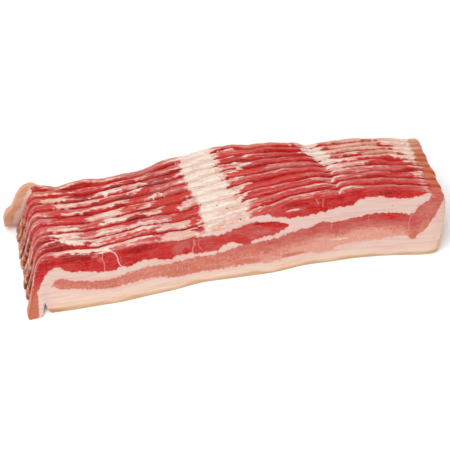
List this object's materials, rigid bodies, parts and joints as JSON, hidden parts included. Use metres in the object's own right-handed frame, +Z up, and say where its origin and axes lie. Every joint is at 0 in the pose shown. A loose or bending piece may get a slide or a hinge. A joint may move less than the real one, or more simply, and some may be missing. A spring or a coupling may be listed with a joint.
{
  "type": "bacon",
  "caption": "Pile of thick raw streaky bacon rashers in slab order, standing on their rind and leaning back, with lean ends hanging over the left side.",
  "frame": {"origin": "on the table, under the middle of the pile's box", "axes": "+X along the rashers from their hooked ends to their square ends, +Y from the front rasher to the back one, +Z up"},
  "size_m": [0.2426, 0.0782, 0.0385],
  "materials": {
    "front_rasher": "moist raw meat: red and pink lean layers between cream fat, tan rind at the foot",
    "inner_rasher": "moist raw meat: marbled cream and red top edges, pink lean and cream fat faces",
    "back_rasher": "moist raw meat with a tan, slightly dried outer edge and flap"
  },
  "bodies": {
    "root": {"slice_01": "front_rasher", "slice_02": "inner_rasher", "slice_03": "inner_rasher", "slice_04": "inner_rasher", "slice_05": "inner_rasher", "slice_06": "inner_rasher", "slice_07": "inner_rasher", "slice_08": "inner_rasher", "slice_09": "inner_rasher", "slice_10": "back_rasher"}
  },
  "joints": []
}
